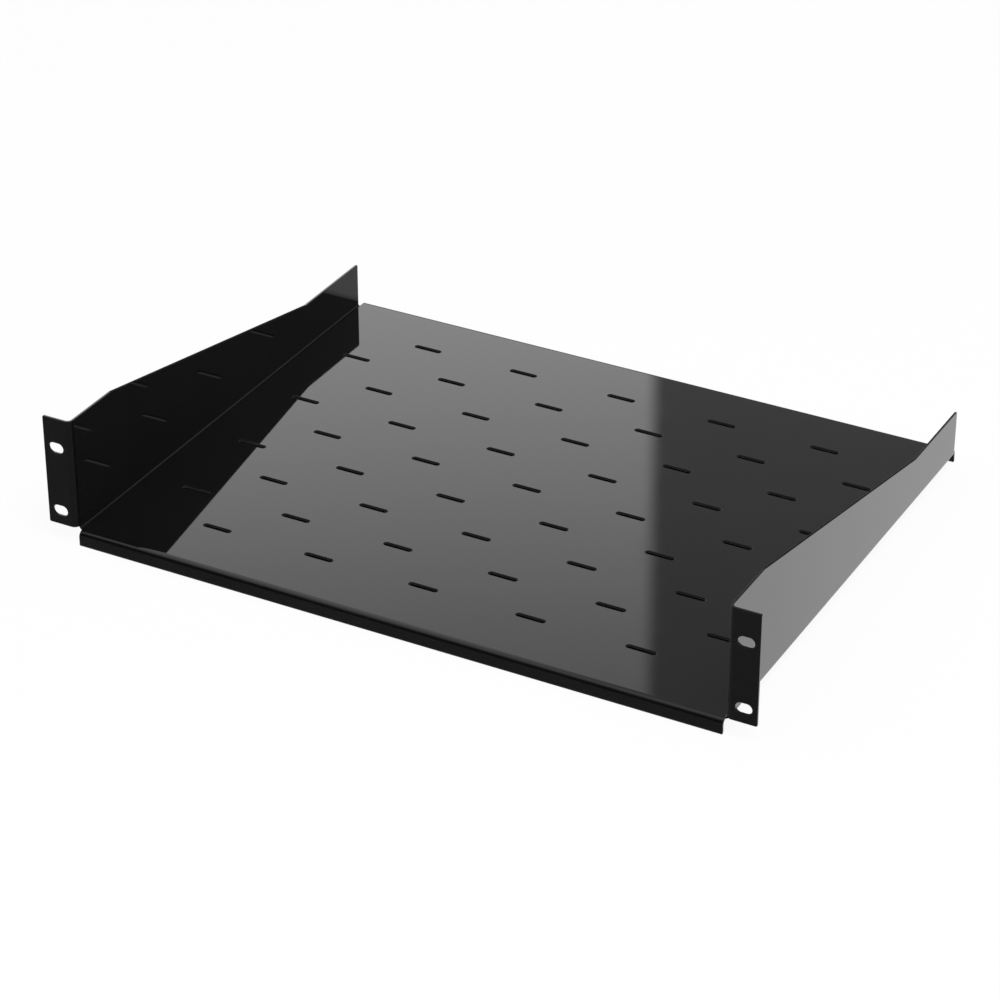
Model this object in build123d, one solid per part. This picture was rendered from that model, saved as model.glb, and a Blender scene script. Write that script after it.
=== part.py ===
from build123d import *
import os

# Two-unit cantilever shelf for a 19 inch rack, folded from one piece of sheet steel.
# The origin is the centre of the four ear slots, on the rear face of the ears,
# which is the face that bears on the rack rails. +Y runs into the rack, +Z is up.
# All lengths are in millimetres.

# The blank
sheet = 1.5                  # sheet thickness
bend_inside = 1.5            # inside radius of every bend
corner_radius = 1.0          # free corners of the blank, as punched

# The rack standard
panel_width = 482.6          # over both ears
hole_edge_distance = 8.75    # ear slots' centres, in from the ears' outer edges
hole_spacing_z = 44.45       # ear slots, centre to centre up the rack
hole_length = 10.5           # ear slot, end to end along X
hole_width = 7.0             # ear slot, across

# The body
ear_width = 18.8             # each ear, out from the wall's outer face
shelf_depth = 355.0          # front of the lip to the back of the rear flange
shelf_height = 87.0          # bottom of the lip to the top of the ears
lip_height = 10.0            # tray top to the bottom of the front lip
rear_flange_height = 10.0    # tray top to the bottom of the rear flange
flange_inset = 2.5           # lip and flange ends, in from the side walls' outer faces
lower_hole_height = 21.9     # lower ear slots above the bottom of the lip

# The side walls, measured from the front of the shelf
wall_level_front = 45.0      # depth over which the wall keeps its full height
wall_level_rear = 277.0      # depth at which the taper ends
wall_depth = 346.5           # depth of the wall's rear edge
wall_low_height = 31.5       # height of the rear stretch above the tray top

# The ears and the corner reliefs
ear_clearance = 2.0          # bottom of the ear above the tray top
relief_depth = 3.5           # corner relief, back from the front of the shelf

# The vent slots in the tray
slot_length = 20.0
slot_width = 4.0
slot_pitch_x = 73.3
slot_pitch_y = 33.54
slot_rows = 9
slots_in_wide_row = 6        # every second row has one slot fewer, set half a pitch over
first_slot_row = 44.33       # first row, back from the front of the shelf

# Sizes and places that follow
hole_spacing_x = panel_width - 2 * hole_edge_distance
body_width = panel_width - 2 * ear_width
bend_outside = bend_inside + sheet
bend_middle = bend_inside + sheet / 2
front = -sheet
rear = front + shelf_depth
lip_bottom = -hole_spacing_z / 2 - lower_hole_height
tray_top = lip_bottom + lip_height
tray_middle = tray_top - sheet / 2
ear_top = lip_bottom + shelf_height
ear_bottom = tray_top + ear_clearance
wall_middle = body_width / 2 - sheet / 2
flange_half = body_width / 2 - flange_inset


def folded(plane, corners, start, length):
    """A strip of the sheet: its middle line, with a bend at each inner corner, drawn out."""
    line = FilletPolyline(*corners, radius=bend_middle)
    section = trace(line, line_width=sheet)
    return extrude(plane.offset(start) * section, amount=length)


def tray_with_flanges():
    """The tray between its front lip and its rear flange, both folded down."""
    side = Plane.YZ
    corners = [
        (front + sheet / 2, lip_bottom),
        (front + sheet / 2, tray_middle),
        (rear - sheet / 2, tray_middle),
        (rear - sheet / 2, tray_top - rear_flange_height),
    ]
    return folded(side, corners, -flange_half, 2 * flange_half)


def wall_outline():
    """What the side walls keep, seen from the side: level, tapered, level."""
    low = tray_top + wall_low_height
    wall_rear = front + wall_depth
    outline = Polyline(
        (front, tray_top - sheet),
        (front, ear_top),
        (front + wall_level_front, ear_top),
        (front + wall_level_rear, low),
        (wall_rear, low),
        (wall_rear, tray_top - sheet),
        close=True,
    )
    face = make_face(outline)
    rounded = [v for v in face.vertices() if v.Y > tray_top and v.X > front + sheet]
    return fillet(rounded, corner_radius)


def side_walls():
    """Tray and both side walls as one U section, cut to the walls' outline."""
    bend_start = bend_outside + front
    corners = [
        (-wall_middle, ear_top),
        (-wall_middle, tray_middle),
        (wall_middle, tray_middle),
        (wall_middle, ear_top),
    ]
    # Plane.XZ faces -Y, so the strip is drawn towards the front, from its rear end
    wall_rear = front + wall_depth
    u_section = folded(Plane.XZ, corners, -wall_rear, wall_rear - bend_start)
    keep = extrude(Plane.YZ * wall_outline(), amount=body_width / 2, both=True)
    return u_section & keep


def corner_relief():
    """The notch that frees the lip from the right-hand wall and ear."""
    notch = Box(
        panel_width,
        2 * relief_depth,
        shelf_height,
        align=(Align.MIN, Align.CENTER, Align.MAX),
    )
    return Pos(flange_half, front, ear_bottom) * notch


def ear():
    """The right-hand ear, folded outward from the front edge of its wall."""
    corners = [
        (panel_width / 2, -sheet / 2),
        (wall_middle, -sheet / 2),
        (wall_middle, bend_outside + relief_depth),
    ]
    plate = folded(Plane.XY, corners, ear_bottom, ear_top - ear_bottom)
    tips = plate.edges().filter_by(Axis.Y).group_by(Axis.X)[-1]
    plate = fillet(tips, corner_radius)
    hole = Plane.XZ * SlotOverall(hole_length, hole_width)
    for z in (-hole_spacing_z / 2, hole_spacing_z / 2):
        plate -= Pos(hole_spacing_x / 2, 0, z) * extrude(hole, amount=sheet, both=True)
    return plate


def vent_slots():
    """All vent slots of the tray, in rows that are set half a pitch over by turns."""
    slot = extrude(SlotOverall(slot_length, slot_width), amount=-sheet)
    slots = []
    for row in range(slot_rows):
        count = slots_in_wide_row - 1 + row % 2
        y = front + first_slot_row + row * slot_pitch_y
        for column in range(count):
            x = (column - (count - 1) / 2) * slot_pitch_x
            slots.append(Pos(x, y, tray_top) * slot)
    return slots


def shelf():
    """The whole shelf as one solid of folded sheet."""
    body = tray_with_flanges() + side_walls()
    body -= corner_relief()
    body -= mirror(corner_relief(), about=Plane.YZ)
    right_ear = ear()
    body += right_ear
    body += mirror(right_ear, about=Plane.YZ)
    body -= vent_slots()
    return body


os.makedirs("parts", exist_ok=True)
export_step(shelf(), "parts/shelf.step")
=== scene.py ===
import math

import bmesh
import bpy
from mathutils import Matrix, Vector


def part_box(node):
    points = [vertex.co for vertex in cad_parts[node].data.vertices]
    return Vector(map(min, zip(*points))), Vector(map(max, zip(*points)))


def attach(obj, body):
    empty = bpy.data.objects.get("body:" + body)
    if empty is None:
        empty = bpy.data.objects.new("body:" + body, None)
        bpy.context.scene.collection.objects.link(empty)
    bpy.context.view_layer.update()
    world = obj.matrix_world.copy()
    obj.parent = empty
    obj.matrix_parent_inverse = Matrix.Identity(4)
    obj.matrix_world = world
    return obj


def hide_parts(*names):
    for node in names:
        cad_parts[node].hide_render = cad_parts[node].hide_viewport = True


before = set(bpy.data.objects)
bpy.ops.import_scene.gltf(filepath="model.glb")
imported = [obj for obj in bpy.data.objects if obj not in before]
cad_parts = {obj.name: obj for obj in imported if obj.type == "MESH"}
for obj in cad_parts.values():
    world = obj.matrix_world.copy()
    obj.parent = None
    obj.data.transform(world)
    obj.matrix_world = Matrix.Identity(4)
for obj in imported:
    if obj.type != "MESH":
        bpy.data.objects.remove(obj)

bl_info = {
    "name": "Rack Shelf",
    "version": (1, 0, 0),
    "blender": (4, 5, 0),
    "location": "3D View > Sidebar > Rack Shelf",
    "description": "Folds a two-unit rack shelf from a punched blank and sets it on a white stage",
    "category": "Object",
}

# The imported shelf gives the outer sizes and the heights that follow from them
low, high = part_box("shelf")
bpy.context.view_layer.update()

floor_gap = 0.0003           # the floor lies this far under the shelf, the cards between them
behind_lip = 0.003           # what lies under the tray stays this far in from front and rear

# How finely the curves are drawn
steps_in_quarter = 10        # straights in a quarter turn of the blank's corners
steps_in_slot_end = 24       # straights in a slot's round end
steps_in_rounding = 3        # flats across a rounded edge, from its side to the face
strips_in_bend = 14          # flats across a bend

# Small distances, in metres
on_the_line = 1e-7           # a point as near as this to a score line is on it
sliver_width = 1e-6          # points nearer to each other than this are one
wall_reach = 0.0002          # the walls' bends still take points this far past their ends
ear_reach = 0.0012           # what lies further out than this past the lip's end is wall or ear


class ShelfSizes(bpy.types.PropertyGroup):
    """Sizes of the punched blank and of its bends, all measured on the finished shelf."""

    sheet: bpy.props.FloatProperty(
        name="Sheet",
        description="Thickness of the sheet steel",
        default=0.0015,
        min=0.0008,
        max=0.003,
        precision=4,
        unit="LENGTH",
    )
    wall_bend_inside: bpy.props.FloatProperty(
        name="Wall Bend",
        description="Inside radius of the bends between the tray and the side walls",
        default=0.0015,
        min=0.0005,
        max=0.0019,
        precision=4,
        unit="LENGTH",
    )
    edge_bend_inside: bpy.props.FloatProperty(
        name="Edge Bend",
        description="Inside radius of the bends of the lip, the rear flange and the ears",
        default=0.0027,
        min=0.0005,
        max=0.004,
        precision=4,
        unit="LENGTH",
    )
    edge_rounding: bpy.props.FloatProperty(
        name="Edge Rounding",
        description="Radius that the coating leaves on every punched edge",
        default=0.00022,
        min=0.00005,
        max=0.0006,
        precision=5,
        unit="LENGTH",
    )
    corner_radius: bpy.props.FloatProperty(
        name="Corner Radius",
        description="Radius of the free corners of the walls and the ears",
        default=0.001,
        min=0.0004,
        max=0.006,
        precision=4,
        unit="LENGTH",
    )
    body_width: bpy.props.FloatProperty(
        name="Body Width",
        description="Over the outer faces of the two side walls",
        default=0.445,
        min=0.4,
        max=0.45,
        unit="LENGTH",
    )
    lip_height: bpy.props.FloatProperty(
        name="Lip Height",
        description="From the tray's top face to the bottom of the front lip and rear flange",
        default=0.010,
        min=0.006,
        max=0.03,
        precision=4,
        unit="LENGTH",
    )
    flange_inset: bpy.props.FloatProperty(
        name="Flange Inset",
        description="Ends of the lip and the rear flange, in from the walls' outer faces",
        default=0.0025,
        min=0.0005,
        max=0.01,
        precision=4,
        unit="LENGTH",
    )
    wall_level_front: bpy.props.FloatProperty(
        name="Level Front",
        description="Depth over which the side walls keep their full height",
        default=0.045,
        min=0.01,
        max=0.2,
        unit="LENGTH",
    )
    wall_level_rear: bpy.props.FloatProperty(
        name="Taper End",
        description="Depth from the front of the shelf at which the walls' taper ends",
        default=0.277,
        min=0.05,
        max=0.33,
        unit="LENGTH",
    )
    wall_depth: bpy.props.FloatProperty(
        name="Wall Depth",
        description="Depth from the front of the shelf to the walls' rear edge",
        default=0.3465,
        min=0.2,
        max=0.35,
        precision=4,
        unit="LENGTH",
    )
    wall_low_height: bpy.props.FloatProperty(
        name="Rear Wall Height",
        description="Height of the walls' rear stretch over the tray's top face",
        default=0.0315,
        min=0.005,
        max=0.07,
        precision=4,
        unit="LENGTH",
    )
    ear_clearance: bpy.props.FloatProperty(
        name="Ear Clearance",
        description="Bottom of the ears over the tray's top face",
        default=0.002,
        min=0.0005,
        max=0.01,
        precision=4,
        unit="LENGTH",
    )
    relief_depth: bpy.props.FloatProperty(
        name="Relief Depth",
        description="How far the corner notches under the ears run back from the front",
        default=0.0043,
        min=0.0043,
        max=0.02,
        precision=4,
        unit="LENGTH",
    )
    hole_spacing_x: bpy.props.FloatProperty(
        name="Ear Slots Across",
        description="Ear slots, centre to centre across the rack",
        default=0.4651,
        min=0.45,
        max=0.475,
        precision=4,
        unit="LENGTH",
    )
    hole_spacing_z: bpy.props.FloatProperty(
        name="Ear Slots Up",
        description="Ear slots, centre to centre up the rack",
        default=0.04445,
        min=0.02,
        max=0.07,
        precision=5,
        unit="LENGTH",
    )
    hole_size: bpy.props.FloatVectorProperty(
        name="Ear Slot",
        description="Length and width of each ear slot",
        size=2,
        default=(0.0105, 0.007),
        min=0.003,
        precision=4,
        unit="LENGTH",
    )
    slot_size: bpy.props.FloatVectorProperty(
        name="Vent Slot",
        description="Length and width of each vent slot in the tray",
        size=2,
        default=(0.020, 0.004),
        min=0.002,
        precision=4,
        unit="LENGTH",
    )
    slot_pitch: bpy.props.FloatVectorProperty(
        name="Vent Pitch",
        description="Vent slots, centre to centre across the tray and from row to row",
        size=2,
        default=(0.0733, 0.03354),
        min=0.005,
        precision=5,
        unit="LENGTH",
    )
    slot_rows: bpy.props.IntProperty(
        name="Vent Rows",
        description="Rows of vent slots from front to rear",
        default=9,
        min=1,
        max=10,
    )
    slots_in_wide_row: bpy.props.IntProperty(
        name="Slots in Wide Row",
        description="Slots in every second row; the rows between have one fewer",
        default=6,
        min=2,
        max=8,
    )
    first_slot_row: bpy.props.FloatProperty(
        name="First Vent Row",
        description="First row of vent slots, back from the front of the shelf",
        default=0.04433,
        min=0.01,
        max=0.1,
        precision=5,
        unit="LENGTH",
    )


class CoatLook(bpy.types.PropertyGroup):
    """The gloss black powder coat."""

    colour: bpy.props.FloatVectorProperty(
        name="Coat Colour",
        description="Colour of the powder coat",
        subtype="COLOR",
        size=3,
        min=0.0,
        max=1.0,
        default=(0.0036, 0.0036, 0.0038),
    )
    dust_colour: bpy.props.FloatVectorProperty(
        name="Dust Colour",
        description="Colour of the thin film of dust that lies in patches on the coat",
        subtype="COLOR",
        size=3,
        min=0.0,
        max=1.0,
        default=(0.012, 0.012, 0.0115),
    )
    gloss_low: bpy.props.FloatProperty(
        name="Roughness, Clean",
        description="Roughness of the coat where it has flowed out best",
        default=0.022,
        min=0.0,
        max=1.0,
    )
    gloss_high: bpy.props.FloatProperty(
        name="Roughness, Worst",
        description="Roughness of the coat where it has flowed out least",
        default=0.045,
        min=0.0,
        max=1.0,
    )
    peel_size: bpy.props.FloatProperty(
        name="Orange Peel Size",
        description="Distance between the waves of orange peel",
        default=0.0016,
        min=0.0003,
        max=0.01,
        precision=4,
        unit="LENGTH",
    )
    peel_height: bpy.props.FloatProperty(
        name="Orange Peel Height",
        description="Height of the waves of orange peel",
        default=0.0000006,
        min=0.0,
        max=0.0001,
        precision=7,
        unit="LENGTH",
    )


class StageLook(bpy.types.PropertyGroup):
    """The white floor, the light, and the camera."""

    floor_colour: bpy.props.FloatVectorProperty(
        name="Floor Colour",
        description="Colour of the floor",
        subtype="COLOR",
        size=3,
        min=0.0,
        max=1.0,
        default=(0.94, 0.94, 0.94),
    )
    room_light: bpy.props.FloatProperty(
        name="Room Light",
        description="Brightness of the even light from all sides",
        default=0.6,
        min=0.0,
        max=2.0,
    )
    lamp_power: bpy.props.FloatProperty(
        name="Lamp Power",
        description="Power of the soft lamp above the shelf, in watts",
        default=60.0,
        min=0.0,
        max=1000.0,
        subtype="POWER",
    )
    camera_place: bpy.props.FloatVectorProperty(
        name="Camera",
        description="Where the camera stands",
        size=3,
        default=(0.87725, -1.49650, 1.070375),
        subtype="TRANSLATION",
        unit="LENGTH",
        precision=5,
    )
    camera_look: bpy.props.FloatVectorProperty(
        name="Camera Looks At",
        description="A point on the camera's line of sight",
        size=3,
        default=(0.01597, 0.11125, -0.004125),
        subtype="TRANSLATION",
        unit="LENGTH",
        precision=5,
    )
    camera_lens: bpy.props.FloatProperty(
        name="Camera Lens",
        description="Focal length of the camera, in millimetres on a 36 mm sensor",
        default=124.39,
        min=10.0,
        max=400.0,
    )


def arc_steps(turn):
    """How many short straights stand for an arc that turns by this angle."""
    return max(2, math.ceil(abs(turn) / (math.pi / 2) * steps_in_quarter))


def rounded_loop(corners):
    """The blank's outline with an arc at each corner, as points with their outward directions.

    Corners run counterclockwise as (x, y, radius). An arc's ends face exactly as the
    straights beside it do, so a long flat edge stays flat in a mirror.
    """
    loop = []
    for i, (x, y, radius) in enumerate(corners):
        before = Vector(corners[i - 1][:2])
        here = Vector((x, y))
        after = Vector(corners[(i + 1) % len(corners)][:2])
        arrive = (here - before).normalized()
        leave = (after - here).normalized()
        cross = arrive.x * leave.y - arrive.y * leave.x
        turn = math.atan2(cross, arrive.dot(leave))
        start = here - arrive * radius * math.tan(abs(turn) / 2)
        outward = Vector((arrive.y, -arrive.x))
        side = math.copysign(1.0, turn)
        centre = start - outward * radius * side
        steps = arc_steps(turn)
        for k in range(steps + 1):
            a = turn * k / steps
            c, s = math.cos(a), math.sin(a)
            facing = Vector((outward.x * c - outward.y * s, outward.x * s + outward.y * c))
            loop.append((centre + facing * radius * side, facing))
    return loop


def slot_loop(centre, length, width, along_y=False):
    """A punched slot with round ends, as points with the directions that face out of the sheet."""
    radius = width / 2
    half = length / 2 - radius
    loop = []
    for end in (1, -1):
        for k in range(steps_in_slot_end + 1):
            a = math.pi * (k / steps_in_slot_end - 0.5) + (0 if end > 0 else math.pi)
            facing = Vector((math.cos(a), math.sin(a)))
            point = facing * radius + Vector((end * half, 0))
            if along_y:
                point = Vector((-point.y, point.x))
                facing = Vector((-facing.y, facing.x))
            loop.append((Vector(centre) + point, -facing))
    return loop


def bent(run, height, radius, faces_along, faces_up):
    """Where a point comes to lie, and how it faces, when the sheet is folded towards +height.

    run is how far along the sheet the point lies past the start of the bend, height how far
    it is from the sheet's middle. It comes back as along and up, and so does its facing.
    """
    if run <= 0:
        return run, height, faces_along, faces_up
    turn = min(run / radius, math.pi / 2)
    c, s = math.cos(turn), math.sin(turn)
    beyond = run - turn * radius
    along = (radius - height) * s + beyond * c
    up = radius - (radius - height) * c + beyond * s
    return along, up, faces_along * c - faces_up * s, faces_along * s + faces_up * c


class Blank:
    """The shelf's flat blank: where its edges and bends lie, measured along the sheet's middle."""

    def __init__(self, sizes):
        self.sizes = sizes
        self.sheet = sizes.sheet
        self.wall_radius = sizes.wall_bend_inside + sizes.sheet / 2
        self.wall_arc = self.wall_radius * math.pi / 2
        self.edge_radius = sizes.edge_bend_inside + sizes.sheet / 2
        self.edge_arc = self.edge_radius * math.pi / 2
        self.front = low.y
        self.rear = high.y
        self.tray_top = low.z + sizes.lip_height
        self.tray_middle = self.tray_top - self.sheet / 2
        self.front_bend = self.front + sizes.edge_bend_inside + sizes.sheet
        self.rear_bend = self.rear - sizes.edge_bend_inside - sizes.sheet
        self.side_bend = sizes.body_width / 2 - sizes.wall_bend_inside - sizes.sheet
        self.flange_half = sizes.body_width / 2 - sizes.flange_inset
        self.wall_rear = self.front + sizes.wall_depth
        self.notch_rear = self.front + sizes.relief_depth

    def up_the_wall(self, z):
        """How far from the middle of the blank a wall point of this finished height lies."""
        return self.side_bend + self.wall_arc + (z - self.tray_middle) - self.wall_radius

    def out_the_ear(self, x):
        """How far back in the blank an ear point of this finished distance from the middle lies."""
        wall_middle = self.sizes.body_width / 2 - self.sheet / 2
        return self.front_bend - self.edge_arc - (x - wall_middle - self.edge_radius)

    def outline(self):
        """The blank's whole outline, counterclockwise, front first."""
        sizes = self.sizes
        round_corner = sizes.corner_radius
        # Even a sharp corner is rounder than the edges that run into it
        sharp = 2 * sizes.edge_rounding
        lip_flat = self.tray_middle - self.edge_radius - low.z
        lip_end = self.front_bend - self.edge_arc - lip_flat
        flange_end = self.rear_bend + self.front_bend - lip_end
        ear_low = self.up_the_wall(self.tray_top + sizes.ear_clearance)
        ear_high = self.up_the_wall(high.z)
        wall_low = self.up_the_wall(self.tray_top + sizes.wall_low_height)
        right = [
            (self.flange_half, lip_end, sharp),
            (self.flange_half, self.notch_rear, sharp),
            (ear_low, self.notch_rear, sharp),
            (ear_low, self.out_the_ear(high.x), round_corner),
            (ear_high, self.out_the_ear(high.x), round_corner),
            (ear_high, self.front + sizes.wall_level_front, round_corner),
            (wall_low, self.front + sizes.wall_level_rear, round_corner),
            (wall_low, self.wall_rear, round_corner),
            (self.flange_half, self.wall_rear, sharp),
            (self.flange_half, flange_end, sharp),
        ]
        left = [(-x, y, radius) for x, y, radius in reversed(right)]
        return rounded_loop(right + left)

    def slots(self):
        """Every punched slot: the staggered field in the tray and the two in each ear."""
        sizes = self.sizes
        loops = []
        for row in range(sizes.slot_rows):
            count = sizes.slots_in_wide_row - 1 + row % 2
            y = self.front + sizes.first_slot_row + row * sizes.slot_pitch[1]
            for column in range(count):
                x = (column - (count - 1) / 2) * sizes.slot_pitch[0]
                loops.append(slot_loop((x, y), *sizes.slot_size))
        y = self.out_the_ear(sizes.hole_spacing_x / 2)
        for z in (-sizes.hole_spacing_z / 2, sizes.hole_spacing_z / 2):
            for side in (1, -1):
                place = (side * self.up_the_wall(z), y)
                loops.append(slot_loop(place, *sizes.hole_size, along_y=True))
        return loops

    def score_lines(self):
        """Lines across the blank that let each bend turn smoothly, as (point, direction across)."""
        lines = []
        for k in range(strips_in_bend + 1):
            step = self.edge_arc * k / strips_in_bend
            for y in (self.front_bend - step, self.rear_bend + step):
                lines.append(((0, y, 0), (0, 1, 0)))
            step = self.wall_arc * k / strips_in_bend
            for x in (self.side_bend + step, -self.side_bend - step):
                lines.append(((x, 0, 0), (1, 0, 0)))
        return lines

    def folded(self, point, facing):
        """A point of the flat blank, and the way its surface faces, after all bends are made."""
        x, y, z = point
        nx, ny, nz = facing
        side = math.copysign(1.0, x)
        past = abs(x) - self.side_bend
        beside_wall = self.notch_rear - wall_reach < y < self.wall_rear + wall_reach
        in_ear = abs(x) > self.flange_half + ear_reach
        in_wall_or_ear = past > 0 and (beside_wall or in_ear)
        if in_wall_or_ear or y < self.front_bend:
            along, up, a, b = bent(self.front_bend - y, -z, self.edge_radius, -ny, -nz)
            y, z, ny, nz = self.front_bend - along, -up, -a, -b
        elif y > self.rear_bend:
            along, up, a, b = bent(y - self.rear_bend, -z, self.edge_radius, ny, -nz)
            y, z, ny, nz = self.rear_bend + along, -up, a, -b
        if in_wall_or_ear:
            along, up, a, b = bent(past, z, self.wall_radius, side * nx, nz)
            x, z, nx, nz = side * (self.side_bend + along), up, side * a, b
        return Vector((x, y, z + self.tray_middle)), Vector((nx, ny, nz))


def punched_sheet(blank):
    """The flat blank as a closed solid with rounded edges, each vertex knowing how it faces."""
    bm = bmesh.new()
    facing_layer = bm.verts.layers.float_vector.new("facing")
    rounding = blank.sizes.edge_rounding
    half = blank.sheet / 2
    quarter = [math.pi / 2 * k / steps_in_rounding for k in range(steps_in_rounding + 1)]
    rows = [(a, 1) for a in reversed(quarter)] + [(a, -1) for a in quarter]
    rims = {1: [], -1: []}
    for loop in [blank.outline()] + blank.slots():
        ladder = []
        for angle, face in rows:
            inset = rounding * (1 - math.cos(angle))
            height = face * (half - rounding + rounding * math.sin(angle))
            row = []
            for point, outward in loop:
                place = point - outward * inset
                vertex = bm.verts.new((place.x, place.y, height))
                level = outward * math.cos(angle)
                vertex[facing_layer] = (level.x, level.y, face * math.sin(angle))
                row.append(vertex)
            ladder.append(row)
        for upper, lower in zip(ladder, ladder[1:]):
            for i in range(len(upper)):
                bm.faces.new((upper[i - 1], lower[i - 1], lower[i], upper[i]))
        for face, row in ((1, ladder[0]), (-1, ladder[-1])):
            for i in range(len(row)):
                rims[face].append(bm.edges.get((row[i - 1], row[i])))
    for face, edges in rims.items():
        bmesh.ops.triangle_fill(bm, edges=edges, use_beauty=True, normal=(0, 0, face))
    return bm


def fold_sheet(bm, blank):
    """Scores the blank along its bends and folds it; returns how each vertex faces."""
    for point, across in blank.score_lines():
        bmesh.ops.bisect_plane(
            bm,
            geom=bm.verts[:] + bm.edges[:] + bm.faces[:],
            dist=on_the_line,
            plane_co=point,
            plane_no=across,
        )
    # A score line that passes close by a corner leaves slivers, which are closed here
    bmesh.ops.remove_doubles(bm, verts=bm.verts[:], dist=sliver_width)
    bmesh.ops.recalc_face_normals(bm, faces=bm.faces[:])
    facing_layer = bm.verts.layers.float_vector["facing"]
    facings = []
    for vertex in bm.verts:
        place, facing = blank.folded(vertex.co, vertex[facing_layer])
        vertex.co = place
        facings.append(facing.normalized())
    return facings


def add_node(tree, kind, x, y, values=None, **settings):
    """A node of this kind at a place in the tree, with its settings and plain inputs set."""
    made = tree.nodes.new(kind)
    made.location = (x, y)
    for name, value in settings.items():
        setattr(made, name, value)
    for name, value in (values or {}).items():
        made.inputs[name].default_value = value
    return made


def grey(level):
    """A grey of this brightness, as a colour."""
    return (level, level, level, 1)


def empty_material(name):
    """A material with nothing in it but its output, and its node tree."""
    material = bpy.data.materials.new(name)
    material.use_nodes = True
    material.node_tree.nodes.clear()
    add_node(material.node_tree, "ShaderNodeOutputMaterial", 900, 0)
    return material, material.node_tree


def show_surface(tree, shader):
    """Puts a shader out as the surface of its material."""
    tree.links.new(shader.outputs[0], tree.nodes["Material Output"].inputs["Surface"])


def combined(tree, x, y, operation, first, second):
    """One value from two: their sum, or the larger of them."""
    made = add_node(tree, "ShaderNodeMath", x, y, operation=operation)
    tree.links.new(first, made.inputs[0])
    tree.links.new(second, made.inputs[1])
    return made.outputs[0]


def powder_coat(look):
    """Gloss black powder coat, mirror-like, with faint orange peel and a breath of dust."""
    material, tree = empty_material("gloss black powder coat")
    link = tree.links.new
    place = add_node(tree, "ShaderNodeTexCoord", -1100, 0)

    def noise(y, **values):
        made = add_node(tree, "ShaderNodeTexNoise", -850, y, values)
        link(place.outputs["Object"], made.inputs["Vector"])
        return made.outputs["Fac"]

    def spread(source, y, values):
        made = add_node(tree, "ShaderNodeMapRange", -620, y, values)
        link(source, made.inputs["Value"])
        return made.outputs["Result"]

    # Dust lies in soft patches about a hand wide
    patches = noise(320, Scale=9.0, Detail=5.0, Roughness=0.62)
    dust_amount = spread(patches, 320, {"From Min": 0.42, "From Max": 0.80, "To Max": 0.22})
    clean_and_dusty = {"A": (*look.colour, 1), "B": (*look.dust_colour, 1)}
    colour = add_node(tree, "ShaderNodeMix", -340, 320, clean_and_dusty, data_type="RGBA")

    # The coat has flowed out better in some places than in others
    flow = noise(20, Scale=34.0, Detail=4.0)
    gloss = {"From Min": 0.3, "From Max": 0.7, "To Min": look.gloss_low, "To Max": look.gloss_high}
    roughness = spread(flow, 20, gloss)

    # Orange peel is fine, shallow waves all over
    peel = noise(-280, Scale=1 / look.peel_size, Detail=1.0)
    waves = {"Strength": 1.0, "Distance": look.peel_height}
    bump = add_node(tree, "ShaderNodeBump", -340, -280, waves)

    shader = add_node(tree, "ShaderNodeBsdfPrincipled", 300, 100, {"IOR": 1.5, "Metallic": 0.0})
    link(dust_amount, colour.inputs["Factor"])
    link(colour.outputs["Result"], shader.inputs["Base Color"])
    link(roughness, shader.inputs["Roughness"])
    link(peel, bump.inputs["Height"])
    link(bump.outputs["Normal"], shader.inputs["Normal"])
    show_surface(tree, shader)
    return material


def seen_rays(tree, x, y):
    """A value of one for rays that the camera, a mirror or glass sends out, none for the light."""
    rays = add_node(tree, "ShaderNodeLightPath", x, y).outputs
    first = combined(tree, x + 200, y, "MAXIMUM", rays["Is Camera Ray"], rays["Is Glossy Ray"])
    return combined(tree, x + 400, y, "MAXIMUM", first, rays["Is Transmission Ray"])


def open_from_below(tree, shader):
    """Puts a shader out on the upper side of its surface; seen from below, nothing is there."""
    clear = add_node(tree, "ShaderNodeBsdfTransparent", 300, -120)
    surface = add_node(tree, "ShaderNodeNewGeometry", 300, 400)
    either_side = add_node(tree, "ShaderNodeMixShader", 600, 100)
    tree.links.new(surface.outputs["Backfacing"], either_side.inputs[0])
    tree.links.new(shader.outputs[0], either_side.inputs[1])
    tree.links.new(clear.outputs[0], either_side.inputs[2])
    show_surface(tree, either_side)


def white_floor(look):
    """Pale matt floor that is drawn white and keeps a light shadow; open from below."""
    material, tree = empty_material("white floor")
    link = tree.links.new
    share_of_white = 0.93
    paint = add_node(tree, "ShaderNodeBsdfDiffuse", 0, 160, {"Color": (*look.floor_colour, 1)})
    white = add_node(tree, "ShaderNodeEmission", 0, 0, {"Color": grey(1), "Strength": 1.0})
    share = add_node(tree, "ShaderNodeMath", 0, 340, {1: share_of_white}, operation="MULTIPLY")
    mix = add_node(tree, "ShaderNodeMixShader", 300, 100)
    link(seen_rays(tree, -700, 340), share.inputs[0])
    link(share.outputs[0], mix.inputs[0])
    link(paint.outputs[0], mix.inputs[1])
    link(white.outputs[0], mix.inputs[2])
    open_from_below(tree, mix)
    return material


def painted_shade_sheet():
    """A dark sheet of painted shade under the tray, standing in for the shadow on the floor there,
    so that its slots look down on dark; open from below.
    """
    material, tree = empty_material("painted shade sheet")
    link = tree.links.new
    # Painted shade: a dark grey with a fine mottle, where the floor under the tray would lie in
    # shadow
    darkest, palest = 0.10, 0.18
    place = add_node(tree, "ShaderNodeTexCoord", -500, 100)
    shade_mottle = add_node(tree, "ShaderNodeTexNoise", -300, 100, {"Scale": 900.0})
    tone = add_node(tree, "ShaderNodeValToRGB", -80, 100)
    for stop, level in zip(tone.color_ramp.elements, (darkest, palest)):
        stop.color = grey(level)
    shade_sheet = add_node(tree, "ShaderNodeBsdfDiffuse", 200, 100)
    link(place.outputs["Object"], shade_mottle.inputs["Vector"])
    link(shade_mottle.outputs["Fac"], tone.inputs["Fac"])
    link(tone.outputs["Color"], shade_sheet.inputs["Color"])
    open_from_below(tree, shade_sheet)
    return material


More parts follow.
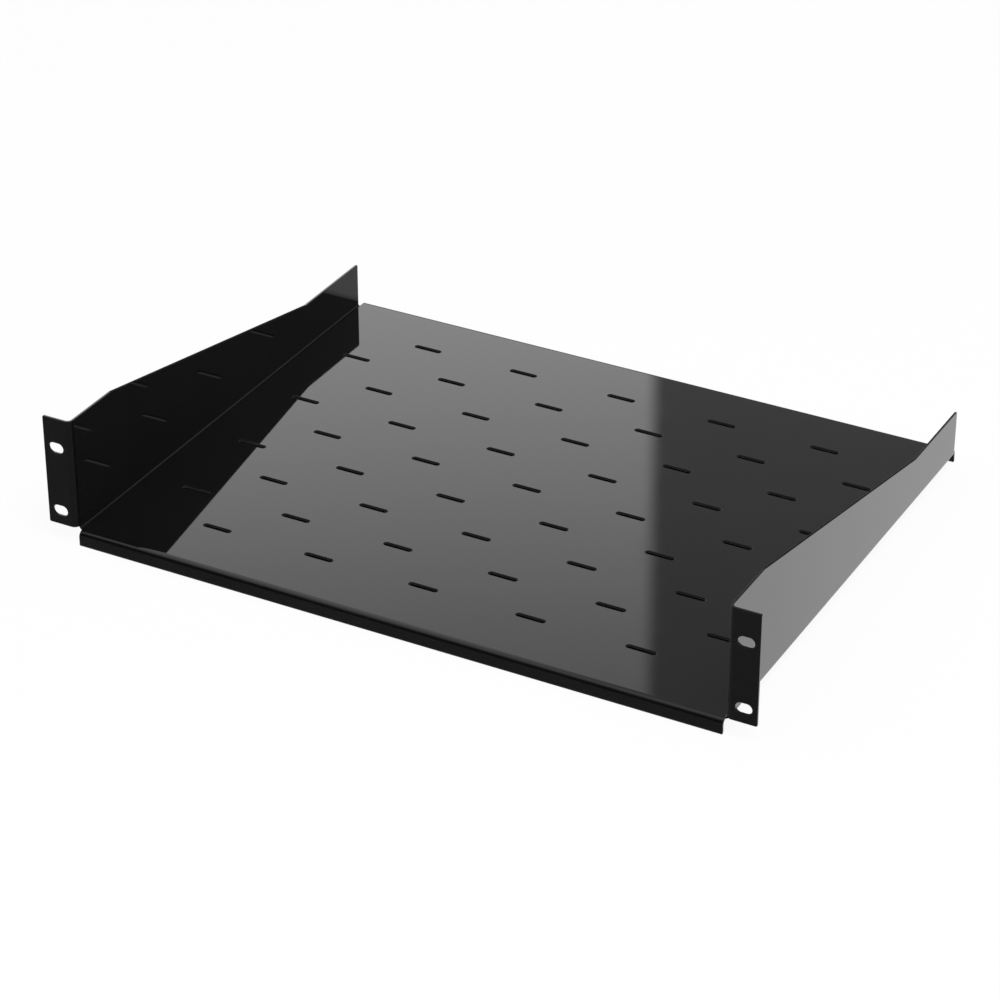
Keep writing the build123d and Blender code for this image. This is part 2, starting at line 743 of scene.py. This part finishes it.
def glow_group():
    """A card's brightness: one value at its start, another at its end, eased between."""
    group = bpy.data.node_groups.new("card glow", "ShaderNodeTree")
    inputs = (
        ("Position", "Value", 0.0),
        ("Start", "From Min", 0.0),
        ("End", "From Max", 1.0),
        ("Low", "To Min", 1.0),
        ("High", "To Max", 1.0),
    )
    for name, _, value in inputs:
        socket = group.interface.new_socket(name, in_out="INPUT", socket_type="NodeSocketFloat")
        socket.default_value = value
    group.interface.new_socket("Glow", in_out="OUTPUT", socket_type="NodeSocketFloat")
    given = add_node(group, "NodeGroupInput", -400, 0)
    eased = add_node(group, "ShaderNodeMapRange", -150, 0, interpolation_type="SMOOTHSTEP")
    result = add_node(group, "NodeGroupOutput", 120, 0)
    for name, inside, _ in inputs:
        group.links.new(given.outputs[name], eased.inputs[inside])
    group.links.new(eased.outputs["Result"], result.inputs["Glow"])
    return group


def card_material(name):
    """An empty material for a card, its node tree, and the place in the room along each axis."""
    material, tree = empty_material(name)
    place = add_node(tree, "ShaderNodeTexCoord", -1200, 0)
    room = add_node(tree, "ShaderNodeSeparateXYZ", -1000, 0)
    tree.links.new(place.outputs["Object"], room.inputs[0])
    return material, tree, room.outputs


def feed(tree, socket, source):
    """Sets a colour socket to a level of grey, or links it to what varies."""
    if isinstance(source, float):
        socket.default_value = grey(source)
    else:
        tree.links.new(source, socket)


def sloped(tree, y, room, slope):
    """X shifted by a share of the height, for an edge that doesn't stand upright."""
    shifted = add_node(tree, "ShaderNodeMath", -850, y, {1: slope}, operation="MULTIPLY_ADD")
    tree.links.new(room["Z"], shifted.inputs[0])
    tree.links.new(room["X"], shifted.inputs[2])
    return shifted.outputs[0]


def graded(tree, group, y, source, start, end, low_glow=0.0, high_glow=1.0):
    """A glow along a source: low up to the start, high from the end on, and eased between."""
    grade = {"Start": start, "End": end, "Low": low_glow, "High": high_glow}
    glow = add_node(tree, "ShaderNodeGroup", -650, y, grade, node_tree=group)
    tree.links.new(source, glow.inputs["Position"])
    return glow.outputs["Glow"]


def mixed(tree, x, factor, first, second):
    """Goes over from one brightness to another; each is a level or varies over the card."""
    mix = add_node(tree, "ShaderNodeMix", x, 0, data_type="RGBA")
    tree.links.new(factor, mix.inputs["Factor"])
    feed(tree, mix.inputs["A"], first)
    feed(tree, mix.inputs["B"], second)
    return mix.outputs["Result"]


def lit(tree, colour):
    """Makes the card glow in this colour."""
    light = add_node(tree, "ShaderNodeEmission", 450, 0)
    feed(tree, light.inputs["Color"], colour)
    show_surface(tree, light)


def plain_card(name, level):
    """A card of one brightness all over."""
    material, tree = empty_material(name)
    lit(tree, level)
    return material


def graded_card(name, group, axis, start, end, low_glow, high_glow):
    """A card that goes over from one brightness to another along one axis of the room."""
    material, tree, room = card_material(name)
    lit(tree, graded(tree, group, 0, room[axis], start, end, low_glow, high_glow))
    return material


def back_wall_material(group):
    """Behind the shelf: a bright soft box on the left that fades over into a dark flag."""
    material, tree, room = card_material("back wall")
    dark_end = 0.04
    dark_foot = 0.08
    # The soft box's edge stands nearly upright, and leans to the left high up
    lower = graded(tree, group, 400, sloped(tree, 260, room, -0.0047), -1.1075, -1.0785)
    upper = graded(tree, group, 620, sloped(tree, 480, room, 0.39), -0.33, -0.20)
    past_edge = combined(tree, -400, 500, "MAXIMUM", lower, upper)
    box = graded(tree, group, 180, room["Z"], 1.05, 2.15, 2.35, 0.93)
    flag = graded(tree, group, -40, room["Z"], 1.0, 2.15, 0.47, 0.30)
    # The flag is darker still at its right end, and the whole wall is at its foot
    at_end = graded(tree, group, -480, room["X"], -0.62, -0.30)
    flag = mixed(tree, -200, at_end, flag, dark_end)
    wall = mixed(tree, 0, past_edge, box, flag)
    above_foot = graded(tree, group, -260, room["Z"], 0.88, 1.10)
    lit(tree, mixed(tree, 200, above_foot, dark_foot, wall))
    return material


def front_screen_material(group):
    """In front of the shelf: a dark flag on the left, with a pale screen on either side of it."""
    material, tree, room = card_material("front screen")
    on_the_left = graded(tree, group, 200, room["X"], -2.95, -2.05, 0.75, 0.0)
    on_the_right = graded(tree, group, -20, room["X"], -0.6, 1.8, 0.02, 0.75)
    lit(tree, combined(tree, -400, 0, "ADD", on_the_left, on_the_right))
    return material


def ceiling_material(group):
    """Above the shelf: bright, brighter at the rear left, dim at the rear right, dark in front."""
    material, tree, room = card_material("ceiling")
    middle_glow = 0.95
    front_glow = 0.05
    rear_glow = graded(tree, group, 200, room["X"], -1.75, -1.15, 1.35, 0.42)
    towards_rear = graded(tree, group, -20, room["Y"], -0.4, 1.6)
    from_front = graded(tree, group, -240, room["Y"], -3.8, -0.2)
    middle_to_rear = mixed(tree, -400, towards_rear, middle_glow, rear_glow)
    lit(tree, mixed(tree, -150, from_front, front_glow, middle_to_rear))
    return material


def rectangle(x0, x1, y0, y1, z):
    """The corners of a level rectangle that faces up."""
    return [(x0, y0, z), (x1, y0, z), (x1, y1, z), (x0, y1, z)]


def disc(radius, z, sides):
    """The corners of a level disc round the middle of the room that faces up."""
    turns = [2 * math.pi * k / sides for k in range(sides)]
    return [(radius * math.cos(a), radius * math.sin(a), z) for a in turns]


def stage_mesh(name, points, material, faces=None):
    """A stage object from plain points: one face round all of them, or the faces given."""
    mesh = bpy.data.meshes.new(name)
    mesh.from_pydata(points, [], faces or [tuple(range(len(points)))])
    mesh.materials.append(material)
    made = bpy.data.objects.new(name, mesh)
    bpy.context.scene.collection.objects.link(made)
    return made


def make_card(name, points, material, faces=None):
    """A card that shows in the coat's reflections only, and throws no light or shadow."""
    card = stage_mesh(name, points, material, faces)
    card.visible_camera = False
    card.visible_diffuse = False
    card.visible_transmission = False
    card.visible_volume_scatter = False
    card.visible_shadow = False


def curved_card(name, centre, radius, azimuths, heights, material):
    """A tall card, curved round a point, between two azimuths in degrees from +Y towards +X."""
    steps = 48
    points = []
    for k in range(steps + 1):
        a = math.radians(azimuths[0] + (azimuths[1] - azimuths[0]) * k / steps)
        x = centre[0] + radius * math.sin(a)
        y = centre[1] + radius * math.cos(a)
        points += [(x, y, heights[0]), (x, y, heights[1])]
    faces = [(2 * k, 2 * k + 2, 2 * k + 3, 2 * k + 1) for k in range(steps)]
    make_card(name, points, material, faces)


def make_floor(look):
    """A round floor, wide enough to run out of every view, and the dark sheet of painted shade that
    lies on it under the tray.
    """
    floor_radius, sides = 9.0, 96
    floor = disc(floor_radius, low.z - floor_gap, sides)
    stage_mesh("floor", floor, white_floor(look))
    # Painted shade under the tray: a dark sheet, seen by the camera only, that stands in for the
    # shadow on the floor there
    shade_sheet_half = 0.206
    z = low.z - floor_gap / 3
    corners = rectangle(-shade_sheet_half, shade_sheet_half, low.y + behind_lip, high.y - behind_lip, z)
    shade_sheet = stage_mesh("shade_sheet", corners, painted_shade_sheet())
    shade_sheet.visible_glossy = False
    shade_sheet.visible_diffuse = False
    shade_sheet.visible_shadow = False


def make_cards(look):
    """The soft box and the flags round the shelf that give the coat its lights and darks."""
    group = glow_group()
    eye = look.camera_place
    middle = (0.0, 0.0)
    wall_distance = 4.6          # from the camera
    right_distance = 4.55        # also from the camera, just in front of the back wall
    screen_distance = 3.0        # from the middle of the room
    ceiling_radius, ceiling_height, ceiling_sides = 4.4, 3.4, 48

    # Round the shelf: the azimuths that each card spans, then its lowest and highest edge
    wall = back_wall_material(group)
    right = graded_card("right card", group, "Z", 1.5, 2.2, 0.52, 0.31)
    screen = front_screen_material(group)
    curved_card("back_wall", eye, wall_distance, (-60.0, 60.0), (0.3, ceiling_height), wall)
    curved_card("right_card", eye, right_distance, (4.0, 16.5), (1.35, 2.35), right)
    curved_card("front_screen", middle, screen_distance, (95.0, 265.0), (-0.04, 2.7), screen)
    ceiling = disc(ceiling_radius, ceiling_height, ceiling_sides)
    make_card("ceiling", ceiling, ceiling_material(group))

    # Flat on the floor: each from left to right and from front to rear
    front = graded_card("front card", group, "Y", -0.40, -0.17, 0.93, 0.153)
    beside = graded_card("side card", group, "Y", 0.0, 0.4, 1.24, 1.36)
    # Under the tray, a grey card of painted shade stands in for the shadowed floor there, in the
    # coat's reflections only
    under = plain_card("painted shade card", 0.22)
    # The rear card is dark just behind the shelf and pales 22 mm further back: a painted shadow of
    # the rear flange on the floor, seen in the coat's reflections only
    rear_start, rear_end = high.y + 0.008, high.y + 0.008 + 0.014
    behind = graded_card("rear card", group, "Y", rear_start, rear_end, 0.05, 0.47)
    flat_cards = (
        ("front_card", -0.34, 0.27, -0.40, low.y - 0.001, front),
        ("side_card", 0.224, 0.95, 0.0, 0.9, beside),
        ("side_front_card", 0.272, 0.95, -0.5, 0.0, beside),
        ("painted_shade_card", -0.2225, 0.2225, low.y + behind_lip, high.y - behind_lip, under),
        ("rear_card", -0.222, 0.222, high.y + 0.001, 0.80, behind),
    )
    for name, x0, x1, y0, y1, material in flat_cards:
        make_card(name, rectangle(x0, x1, y0, y1, low.z - floor_gap / 2), material)


def make_world(look):
    """White where it is seen, plain even light elsewhere."""
    world = bpy.data.worlds.new("white room")
    bpy.context.scene.world = world
    world.use_nodes = True
    tree = world.node_tree
    tree.nodes.clear()
    even = {"Color": grey(1), "Strength": look.room_light}
    light = add_node(tree, "ShaderNodeBackground", 0, 100, even)
    white = add_node(tree, "ShaderNodeBackground", 0, -60, {"Color": grey(1), "Strength": 1.0})
    mix = add_node(tree, "ShaderNodeMixShader", 300, 0)
    out = add_node(tree, "ShaderNodeOutputWorld", 560, 0)
    tree.links.new(seen_rays(tree, -700, 300), mix.inputs[0])
    tree.links.new(light.outputs[0], mix.inputs[1])
    tree.links.new(white.outputs[0], mix.inputs[2])
    tree.links.new(mix.outputs[0], out.inputs["Surface"])


def aim(thing, target):
    """Turns a lamp or the camera towards a point."""
    line = Vector(target) - thing.location
    thing.rotation_mode = "QUATERNION"
    thing.rotation_quaternion = line.to_track_quat("-Z", "Y")


def make_lamp(look):
    """One large soft lamp, high on the right, out of the coat's reflections."""
    data = bpy.data.lights.new("soft lamp", "AREA")
    data.energy = look.lamp_power
    data.shape = "DISK"
    data.size = 1.6
    lamp = bpy.data.objects.new("soft_lamp", data)
    bpy.context.scene.collection.objects.link(lamp)
    lamp.location = (1.3, -1.0, 3.0)
    lamp.visible_glossy = False
    middle_of_tray = (0, 0.15, 0)
    aim(lamp, middle_of_tray)


def make_camera(look):
    """The camera, at the photograph's angle."""
    data = bpy.data.cameras.new("camera")
    data.sensor_width = 36.0
    data.lens = look.camera_lens
    data.clip_start = 0.05
    data.clip_end = 60.0
    camera = bpy.data.objects.new("camera", data)
    bpy.context.scene.collection.objects.link(camera)
    camera.location = look.camera_place
    aim(camera, look.camera_look)
    bpy.context.scene.camera = camera


class FoldShelf(bpy.types.Operator):
    """Punch the blank, fold it into the shelf and give it its powder coat"""

    bl_idname = "rack_shelf.fold_shelf"
    bl_label = "Fold Shelf"

    def execute(self, context):
        blank = Blank(context.scene.rack_shelf_sizes)
        bm = punched_sheet(blank)
        facings = fold_sheet(bm, blank)
        mesh = bpy.data.meshes.new("folded_sheet")
        bm.to_mesh(mesh)
        bm.free()
        mesh.attributes.remove(mesh.attributes["facing"])
        mesh.shade_smooth()
        mesh.normals_split_custom_set_from_vertices(facings)
        mesh.materials.append(powder_coat(context.scene.rack_shelf_coat))
        shelf = bpy.data.objects.new("folded_sheet", mesh)
        context.scene.collection.objects.link(shelf)
        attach(shelf, "root")
        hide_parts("shelf")
        return {"FINISHED"}


class SetStage(bpy.types.Operator):
    """Lay the white floor, stand the cards and the lamp, and place the camera"""

    bl_idname = "rack_shelf.set_stage"
    bl_label = "Set Stage"

    def execute(self, context):
        look = context.scene.rack_shelf_stage
        make_floor(look)
        make_cards(look)
        make_world(look)
        make_lamp(look)
        make_camera(look)
        context.scene.view_settings.view_transform = "Standard"
        return {"FINISHED"}


class RackShelfPanel(bpy.types.Panel):
    """The shelf's sizes, its finish and its stage, with a button for each step"""

    bl_idname = "VIEW3D_PT_rack_shelf"
    bl_label = "Rack Shelf"
    bl_space_type = "VIEW_3D"
    bl_region_type = "UI"
    bl_category = "Rack Shelf"

    def draw(self, context):
        scene = context.scene
        steps = (
            (scene.rack_shelf_sizes, None),
            (scene.rack_shelf_coat, FoldShelf),
            (scene.rack_shelf_stage, SetStage),
        )
        for settings, operator in steps:
            box = self.layout.box()
            for name in settings.bl_rna.properties.keys():
                if name not in ("rna_type", "name"):
                    box.prop(settings, name)
            if operator:
                box.operator(operator.bl_idname)


classes = (ShelfSizes, CoatLook, StageLook, FoldShelf, SetStage, RackShelfPanel)


def register():
    """Adds the classes, and the settings to the scene."""
    for cls in classes:
        bpy.utils.register_class(cls)
    bpy.types.Scene.rack_shelf_sizes = bpy.props.PointerProperty(type=ShelfSizes)
    bpy.types.Scene.rack_shelf_coat = bpy.props.PointerProperty(type=CoatLook)
    bpy.types.Scene.rack_shelf_stage = bpy.props.PointerProperty(type=StageLook)


def unregister():
    """Takes away what register added."""
    del bpy.types.Scene.rack_shelf_stage
    del bpy.types.Scene.rack_shelf_coat
    del bpy.types.Scene.rack_shelf_sizes
    for cls in reversed(classes):
        bpy.utils.unregister_class(cls)


def main():
    """Builds the shelf and its stage."""
    register()
    bpy.ops.rack_shelf.fold_shelf()
    bpy.ops.rack_shelf.set_stage()
    bpy.context.view_layer.update()


if __name__ == "__main__":
    main()
